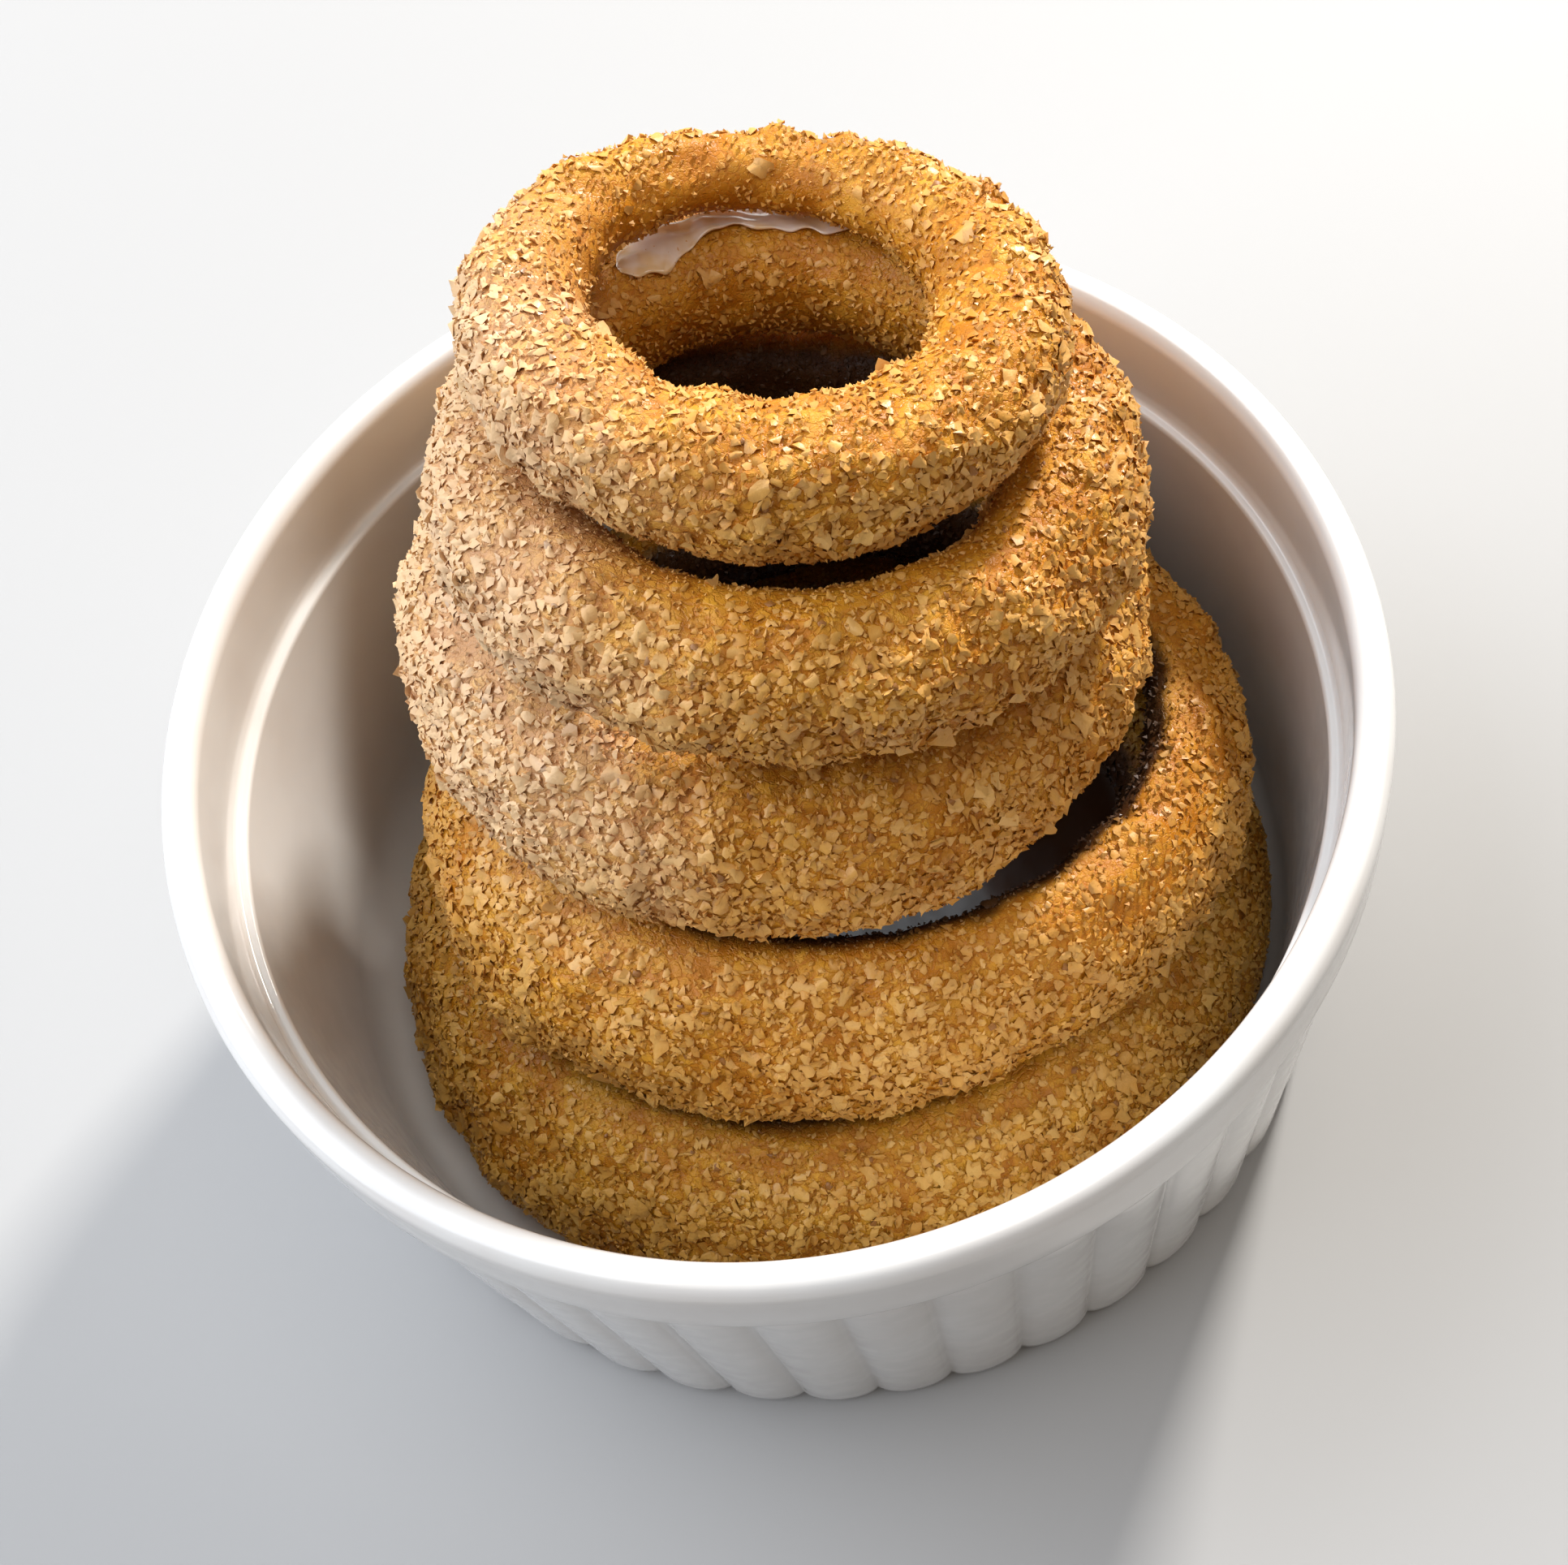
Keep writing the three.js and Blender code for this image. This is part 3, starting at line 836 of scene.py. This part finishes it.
@dataclass(frozen=True)
class OnionRing:
    """One crumbed ring, worked out from its solid in the frame.

    Directions are in degrees from +X towards +Y, seen from the ring's centre.

    Attributes:
        node: the solid's name.
        bare: if its upper side has a stretch with few crumbs, the direction of that stretch's middle, how
            far it reaches either way in degrees, and the share of the crumbs that are left there.
        inside_cover: share of the crumbs that stick to the inner side.
        inside_dark: strength of the painted shade that makes the inner side nearly black, from 0 to 1.
        full: direction in which it isn't sunk at all, if there is one.
        sink: how far the skin lies under the solid's face, to leave room for the crumbs.
        levels: how often the solid's faces are halved to round it off.
    """

    node: str
    bare: tuple[float, float, float] | None = None
    inside_cover: float = 0.3
    inside_dark: float = 0.0
    full: float | None = None
    sink: float = 0.55 * MM
    levels: int = 3

    def solid(self) -> Piece:
        """Copies the ring's solid, merges its loose triangles and rounds it off."""
        mesh = frame["nodes"][self.node].data.copy()
        shape = bmesh.new()
        shape.from_mesh(mesh)
        bmesh.ops.remove_doubles(shape, verts=shape.verts, dist=0.001 * MM)
        bmesh.ops.join_triangles(
            shape, faces=shape.faces, angle_face_threshold=math.pi, angle_shape_threshold=math.pi
        )
        shape.to_mesh(mesh)
        shape.free()
        mesh.materials.clear()
        for attribute in list(mesh.attributes):
            if attribute.name in ("custom_normal", "sharp_face", "sharp_edge"):
                mesh.attributes.remove(attribute)
        mesh.shade_smooth()
        piece = show(mesh, f"{self.node} shape")
        rounding = piece.modifiers.new("rounding", "SUBSURF")
        rounding.levels = rounding.render_levels = self.levels
        return bake(piece, f"{self.node} shape")

    def store_cover(self, mesh: Mesh) -> None:
        """Stores the numbers "cover", "coarse", "dark" and "sink" on the skin's corners.

        They say where crumbs stick, where the coarse ones gather, where painted shade makes the crust nearly
        black and how far the skin sinks. Crumbs sit thickest on the outer side and thin out on the inner side
        and on the bare stretches. The coarse ones gather on the outer flank and its foot.
        """
        points, normals = corners_of(mesh)
        middle, axis = lie_of(points)
        from_middle = points - middle
        level = from_middle - np.outer(from_middle @ axis, axis)
        outward = level / np.linalg.norm(level, axis=1, keepdims=True)
        facing_out = (normals * outward).sum(axis=1)
        facing_up = normals @ axis
        direction = np.degrees(np.arctan2(level[:, 1], level[:, 0]))
        cover = self.inside_cover + (1 - self.inside_cover) * smoothstep(facing_out, -0.75, 0.1)
        if self.bare:
            bare_middle, half_width, left = self.bare
            here = 1 - smoothstep(apart(direction, bare_middle), half_width * 0.6, half_width)
            here = here * smoothstep(facing_up - 0.5 * facing_out, -0.15, 0.35)
            cover = cover * (1 - (1 - left) * here)
        sink = np.full(len(points), self.sink)
        if self.full is not None:
            sink *= smoothstep(apart(direction, self.full), 112.0, 145.0)
        set_numbers(mesh, "sink", sink)
        set_numbers(mesh, "cover", cover)
        set_numbers(mesh, "coarse", smoothstep(facing_out - 0.45 * facing_up, -0.35, 0.75))
        # Painted shade on the inner side, strongest where the crust faces the middle of the stack.
        set_numbers(mesh, "dark", self.inside_dark * (1 - smoothstep(facing_out, -0.6, 0.0)))

    def build(self) -> Piece:
        """Makes the ring's fried skin, which stands for its solid.

        Returns:
            The skin, with the numbers of store_cover and of the relief tree on its corners.
        """
        shape = self.solid()
        self.store_cover(shape.data)
        around = gathered([solid for name, solid in frame["nodes"].items() if name != self.node])
        use_tree(shape, relief_tree(), {"Around": around, "Finish": SKIN.material()})
        skin = bake(shape, f"{self.node}_skin")
        remove(around)
        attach(skin, BODY)
        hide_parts(self.node)
        return skin


RINGS = (
    OnionRing("ring_top", (100, 75, 0.35), full=90.0),
    OnionRing("ring_upper", inside_cover=0.4, full=90.0),
    # The lower three rings get painted shade, nearly black, on their inner side.
    OnionRing("ring_middle", inside_dark=0.95),
    OnionRing("ring_lower", (-20, 75, 0.3), inside_dark=0.95),
    OnionRing("ring_bottom", inside_dark=0.95),
)


@dataclass(frozen=True)
class OnionSkin:
    """The onion's own thin skin, wet with oil, where it shows over the inner side of a ring.

    Attributes:
        node: the ring's solid.
        start: direction of one end, in degrees from +X towards +Y.
        end: direction of the other end.
        shares: places along it, from 0 to 1, for which its edges are given.
        upper: its upper edge there, in degrees round the ring's section from its crown inwards.
        lower: its lower edge there.
        gap: how far it lies off the solid.
        thickness: of the sheet.
        ripple: height of its waves.
        reach: length of the rays that feel for the solid.
        columns: faces along it.
        rows: faces across it.
    """

    node: str = "ring_upper"
    start: float = 58.0
    end: float = 114.0
    shares: tuple[float, ...] = (0.0, 0.08, 0.25, 0.5, 0.65, 0.84, 0.95, 1.0)
    upper: tuple[float, ...] = (2.0, -8.0, -10.0, -10.0, -10.0, -9.0, 0.0, 14.0)
    lower: tuple[float, ...] = (8.0, 19.0, 24.0, 12.0, 17.0, 38.0, 34.0, 22.0)
    gap: float = 0.6 * MM
    thickness: float = 0.3 * MM
    ripple: float = 0.14 * MM
    reach: float = 60 * MM
    columns: int = 90
    rows: int = 14

    def sheet(self) -> list[Vector]:
        """Feels for the ring's solid, and gives the sheet's upper corners and then its lower ones."""
        data = frame["nodes"][self.node].data
        middle, axis = (Vector(found) for found in lie_of(corners_of(data)[0]))
        shape = bmesh.new()
        shape.from_mesh(data)
        solid = BVHTree.FromBMesh(shape)
        shape.free()
        over: list[Vector] = []
        under: list[Vector] = []
        for column in range(self.columns + 1):
            share = column / self.columns
            turn = math.radians(self.start + (self.end - self.start) * share)
            outward = Vector((math.cos(turn), math.sin(turn), 0))
            outward = (outward - axis * outward.dot(axis)).normalized()
            inner = solid.ray_cast(middle, outward, self.reach)[0]
            outer = solid.ray_cast(middle + outward * self.reach, -outward, self.reach)[0]
            heart = (inner + outer) / 2
            top, foot = np.interp(share, self.shares, self.upper), np.interp(share, self.shares, self.lower)
            ragged = 2.2 * math.sin(19 * share) + 1.2 * math.sin(47 * share + 1.0)
            for row in range(self.rows + 1):
                down = row / self.rows
                angle = math.radians(top + (foot + ragged - top) * down)
                ray = axis * math.cos(angle) - outward * math.sin(angle)
                point = solid.ray_cast(heart, ray, self.reach)[0]
                ripple = self.ripple * math.sin(31 * share + 5 * down) * math.sin(7 * share + 9 * down)
                over.append(point + ray * (self.gap + ripple))
                under.append(point + ray * (self.gap + ripple - self.thickness))
        return [*over, *under]

    def build(self) -> Piece:
        """Makes the skin as a thin closed sheet that lies on the ring from its inner side over its crown."""
        points = self.sheet()
        wide, tall, count = self.columns + 1, self.rows + 1, len(points) // 2
        faces = []
        for i in range(wide - 1):
            for j in range(tall - 1):
                a, b, c, d = i * tall + j, (i + 1) * tall + j, (i + 1) * tall + j + 1, i * tall + j + 1
                faces += [(a, b, c, d), (d + count, c + count, b + count, a + count)]
        rim = [i * tall for i in range(wide)] + [(wide - 1) * tall + j for j in range(1, tall)]
        rim += [i * tall + tall - 1 for i in range(wide - 2, -1, -1)] + list(range(tall - 2, 0, -1))
        faces += [(i, i + count, j + count, j) for i, j in zip(rim, [*rim[1:], rim[0]])]
        mesh = bpy.data.meshes.new("onion_skin")
        mesh.from_pydata(points, [], faces)
        shape = bmesh.new()
        shape.from_mesh(mesh)
        bmesh.ops.recalc_face_normals(shape, faces=shape.faces)
        shape.to_mesh(mesh)
        shape.free()
        mesh.shade_smooth()
        mesh.materials.append(oily_onion())
        piece = show(mesh, "onion_skin")
        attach(piece, BODY)
        return piece


# ------------ crumbs

CRUMB_SHAPES = 12  # different shapes of each kind
WOBBLE = 0.4 * MM


class Make(Enum):
    """The shapes that dried bread breaks into: width and thickness to a length of 1, and how cupped."""

    GRAIN = (0.85, 0.5, 0.1)
    CHIP = (0.8, 0.2, 0.16)
    SLIVER = (0.34, 0.18, 0.18)


@dataclass(frozen=True)
class CrumbKind:
    """One kind of crumb, scattered over all the rings.

    Attributes:
        name: the piece's name.
        make: the shape.
        corners: corners of a crumb's outline.
        smallest: smallest length, in millimetres.
        largest: largest length, in millimetres.
        spacing: least distance between two of them, in millimetres.
        density: most of them to the square metre.
        tilt: how far they lean away from the skin, in degrees.
        coarse: how much they keep to the outer flank and its foot, from 0 to 1.
        finish: the finish.
        seed: of the random draws.
        cover_from: they start where the skin's cover passes this.
        lift: height of a crumb's middle over the skin, as a share of its size.
    """

    name: str
    make: Make
    corners: int
    smallest: float
    largest: float
    spacing: float
    density: float
    tilt: float
    coarse: float
    finish: FriedFinish
    seed: int
    cover_from: float
    lift: float

    def crumb(self, number: int, draw: np.random.Generator) -> Piece:
        """Makes one crumb about 1 across: a ragged outline with a fan over it and a fan under it.

        Args:
            number: which of the shapes it is.
            draw: the random numbers.

        Returns:
            The crumb, with the number "tip" on its corners: how light it is there, from 0 to 1.
        """
        width, thickness, cup = self.make.value
        count = self.corners
        turn = 2 * np.pi * (np.arange(count) + draw.uniform(-0.3, 0.3, count)) / count
        reach = draw.uniform(0.34, 0.56, count)
        bend = draw.uniform(0, np.pi)
        rise = cup * (np.cos(2 * (turn - bend)) + draw.uniform(-0.6, 0.6, count))
        edge = np.stack([reach * np.cos(turn), reach * np.sin(turn) * width, rise], axis=1)
        middle = draw.uniform(-0.1, 0.1, 2).tolist()
        points = [*edge.tolist(), [*middle, thickness * draw.uniform(0.7, 1.0)]]
        faces = [(i, (i + 1) % count, count) for i in range(count)]
        tips = [*draw.uniform(0.0, 0.5, count), draw.uniform(0.7, 1.0)]
        if count == 3:
            faces.append((2, 1, 0))
        else:
            points.append([*middle, -thickness * draw.uniform(0.7, 1.0)])
            faces += [((i + 1) % count, i, count + 1) for i in range(count)]
            tips.append(0.0)
        mesh = bpy.data.meshes.new(f"{self.name} {number}")
        mesh.from_pydata(points, [], faces)
        for edge in mesh.edges:
            edge.use_edge_sharp = count < 5 or max(edge.vertices) < count
        set_numbers(mesh, "tip", np.array(tips))
        return bpy.data.objects.new(f"{self.name} {number}", mesh)

    def scatter(self, ground: Piece) -> Piece:
        """Scatters the crumbs.

        Args:
            ground: all the skins in one object.

        Returns:
            The crumbs as one piece.
        """
        draw = np.random.default_rng(self.seed)
        shapes = bpy.data.collections.new(self.name)
        for number in range(CRUMB_SHAPES):
            shapes.objects.link(self.crumb(number, draw))
        piece = show(ground.data.copy(), f"{self.name} ground")
        lengths = {name: getattr(self, name) * MM for name in ("smallest", "largest", "spacing")}
        made = {"tilt": math.radians(self.tilt), "crumbs": shapes, "Finish": self.finish.material()}
        use_tree(piece, scatter_tree(), vars(self) | lengths | made)
        crumbs = bake(piece, self.name)
        for sample in list(shapes.objects):
            remove(sample)
        bpy.data.collections.remove(shapes)
        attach(crumbs, BODY)
        return crumbs


@cache
def scatter_tree() -> Nodes:
    """Builds the tree that strews crumbs over the skins.

    Crumbs grow smaller and fewer where the skin has little room to what is next to it. Each takes a random
    size, spin, lean and tint, and is roughened once it lies in place. It is smooth but for its sharp
    outline. None rises over the ceiling.

    Returns:
        A geometry tree whose inputs are the crumbs, their finish and fields of CrumbKind.
    """
    numbers = "smallest, largest, spacing, density, tilt, coarse, cover_from, lift"
    group = Tree.modifier("strewn crumbs", {"Collection": "crumbs", "Float": numbers, "Int": "seed"})
    given, place = group.given, group.where()
    patches = group.ramp(group.noise(place, 120.0), 0.36, 0.56, 0.6, 1.0)
    room = group.attribute("room")
    start = given["cover_from"]
    cover = group.ramp(group.attribute("cover"), start, group.plus(start, 0.5))
    fine_side = group.minus(1.0, group.attribute("coarse"))
    kept = group.minus(1.0, group.times(fine_side, given["coarse"]), clamp=True)
    share = group.times(group.times(patches, cover), group.ramp(room, 0.2 * MM, 1.6 * MM))
    spread = group.node(
        "GeometryNodeDistributePointsOnFaces",
        {
            "Mesh": given["Geometry"],
            "Distance Min": given["spacing"],
            "Density Max": given["density"],
            "Density Factor": group.times(share, kept),
            "Seed": given["seed"],
        },
        distribute_method="POISSON",
    ).outputs

    def random(low: Value, high: Value, number: int, kind: str = "FLOAT") -> Socket:
        """A random number or vector for each crumb; number tells the draws apart."""
        inputs = {"Min": low, "Max": high, "Seed": group.plus(given["seed"], float(number))}
        return group.out("FunctionNodeRandomValue", inputs, "Value", data_type=kind)

    little_room = group.ramp(room, 0.3 * MM, 6.0 * MM, 0.4, 1.0)
    size = group.times(random(given["smallest"], given["largest"], 1), little_room)
    stretch = random((0.8, 0.75, 0.8), (1.15, 1.1, 1.4), 2, "FLOAT_VECTOR")
    lean = group.times(given["tilt"], little_room)
    back = group.times(lean, -1.0)
    swing = random(group.join(back, back), group.join(lean, lean, 2 * math.pi), 3, "FLOAT_VECTOR")
    turns = {0: spread["Rotation"], 1: group.out("FunctionNodeEulerToRotation", {0: swing})}
    up = group.scaled(spread["Normal"], group.times(size, given["lift"]))
    crumbs = {"Collection": given["crumbs"], "Separate Children": True, "Reset Children": True}
    placed = group.out(
        "GeometryNodeInstanceOnPoints",
        {
            "Points": group.moved(spread["Points"], up),
            "Instance": group.out("GeometryNodeCollectionInfo", crumbs),
            "Pick Instance": True,
            "Rotation": group.out("FunctionNodeRotateRotation", turns, rotation_space="LOCAL"),
            "Scale": group.scaled(stretch, size),
        },
    )
    real = group.realized(group.stored(placed, "tint", random(0.0, 1.0, 4), domain="INSTANCE"))
    shake = group.vector("SUBTRACT", group.noise(place, 1500.0, 1.0, 1), HALF)
    capped = group.under_ceiling(group.moved(real, group.scaled(shake, WOBBLE)))
    return group.dressed(group.out("GeometryNodeSetShadeSmooth", {"Geometry": capped, "Shade Smooth": True}))


CRUMBS = (
    CrumbKind("crumb_grains", Make.GRAIN, 3, 0.6, 1.1, 0.76, 2.2e6, 20, 0.1, GRAIN, 11, -0.3, 0.18),
    CrumbKind("crumb_fine_chips", Make.CHIP, 4, 0.95, 1.5, 1.06, 1.5e6, 16, 0.2, CHIP, 12, -0.2, 0.13),
    CrumbKind("crumb_chips", Make.CHIP, 6, 1.25, 1.9, 1.15, 1.2e6, 16, 0.5, CHIP, 13, -0.05, 0.12),
    CrumbKind("crumb_broad_chips", Make.CHIP, 8, 1.6, 2.4, 1.55, 7e5, 15, 0.85, CHIP, 14, 0.1, 0.1),
    CrumbKind("crumb_flakes", Make.CHIP, 10, 2.2, 3.0, 3.4, 8e4, 13, 0.9, FLAKE, 15, 0.3, 0.08),
    CrumbKind("crumb_slivers", Make.SLIVER, 6, 1.6, 2.8, 2.4, 1e5, 14, 0.7, CHIP, 16, 0.2, 0.1),
    CrumbKind("crumb_large_flakes", Make.CHIP, 12, 3.0, 4.2, 11, 4e3, 6, 0.0, FLAKE, 17, 0.0, 0.08),
    CrumbKind("crumb_toasted", Make.GRAIN, 5, 0.8, 1.5, 3.0, 2e4, 20, 0.0, TOASTED, 18, 0.2, 0.1),
)


# ------------ studio

SKY: Colour = (1.0, 0.86, 0.72, 1.0)
SKY_STRENGTH = 0.19
AIM = Vector((0, 0, 60 * MM))  # what the lights face
FLOOR_COLOUR: Colour = (0.4, 0.395, 0.39, 1.0)
FLOOR_HALF = 3.0  # half of the floor's side
LENS = 54.04  # focal length in millimetres
ELEVATION, ROLL = 59.8, -15.93  # how far the camera looks down and is turned about its axis, in degrees
DISTANCE = 283.7 * MM
SLIDE = (3.24 * MM, -11.19 * MM)  # right and up in the camera's own frame


LAMPS = (  # name, place, side, power in watts and colour of each square soft light
    ("left light", (-0.82, 0.2, 0.82), 1.4, 17.5, (0.86, 0.94, 1.06)),
    ("back left light", (-0.55, 0.82, 1.0), 1.4, 9.5, (0.9, 0.96, 1.02)),
    ("back right light", (0.75, 0.85, 0.8), 0.18, 28.0, (1.0, 0.97, 0.92)),
    ("right light", (1.1, 0.1, 0.6), 0.8, 1.5, (1.0, 0.97, 0.93)),
    ("top light", (0.15, -0.15, 0.8), 0.4, 1.3, (1.0, 0.97, 0.93)),
)


def lay_floor() -> None:
    """Lays the plain floor."""
    half = FLOOR_HALF
    mesh = bpy.data.meshes.new("floor")
    corners = [(-half, -half, 0), (half, -half, 0), (half, half, 0), (-half, half, 0)]
    mesh.from_pydata(corners, [], [(0, 1, 2, 3)])
    mesh.materials.append(Surface("pale floor").shaded({"Base Color": FLOOR_COLOUR, "Roughness": 0.7}))
    floor = show(mesh, "floor")


def hang_lights() -> None:
    """Sets the pale surroundings and hangs the lights."""
    world = bpy.data.worlds.new("studio")
    world.use_nodes = True
    sky = world.node_tree.nodes["Background"]
    sky.inputs["Color"].default_value = SKY
    sky.inputs["Strength"].default_value = SKY_STRENGTH
    bpy.context.scene.world = world
    for name, place, side, power, colour in LAMPS:
        light = bpy.data.lights.new(name, "AREA")
        light.size, light.energy, light.color = side, power, colour
        lamp = show(light, name)
        lamp.location = place
        lamp.rotation_euler = (AIM - Vector(place)).to_track_quat("-Z", "Y").to_euler()
    bpy.context.scene.view_settings.view_transform = "Standard"


def set_camera(rim_height: float) -> None:
    """Sets the camera, which looks down on the front of the stack and is rolled a little.

    Args:
        rim_height: table to the top of the dish; the camera faces the rim's middle before it slides.
    """
    data = bpy.data.cameras.new("camera")
    data.sensor_width = 36.0
    data.lens = LENS
    data.clip_start = 0.01
    camera = show(data, "camera")
    tipped = Matrix.Rotation(math.radians(90 - ELEVATION), 4, "X")
    rolled = Matrix.Rotation(math.radians(ROLL), 4, "Z")
    back = Matrix.Translation((*SLIDE, DISTANCE))
    camera.matrix_world = Matrix.Translation((0, 0, rim_height)) @ tipped @ rolled @ back
    bpy.context.scene.camera = camera


# ------------ the scene


def main() -> None:
    """Builds the dish, the rings, the crumbs, the floor, lights and camera, and reports each piece."""
    logging.basicConfig(level=logging.INFO, format="%(message)s")
    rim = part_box(DISH_NODE)[1]
    pieces = [FlutedDish(rim_radius=rim.x, height=rim.z).build()]

    skins = [ring.build() for ring in RINGS]
    pieces += [*skins, OnionSkin().build()]
    ground = gathered(skins)
    pieces += [kind.scatter(ground) for kind in CRUMBS]
    remove(ground)

    lay_floor()
    hang_lights()
    set_camera(rim.z)

    for piece in pieces:
        log.info("%s: %d triangles", piece.name, triangles_in(piece))


if __name__ == "__main__":
    main()
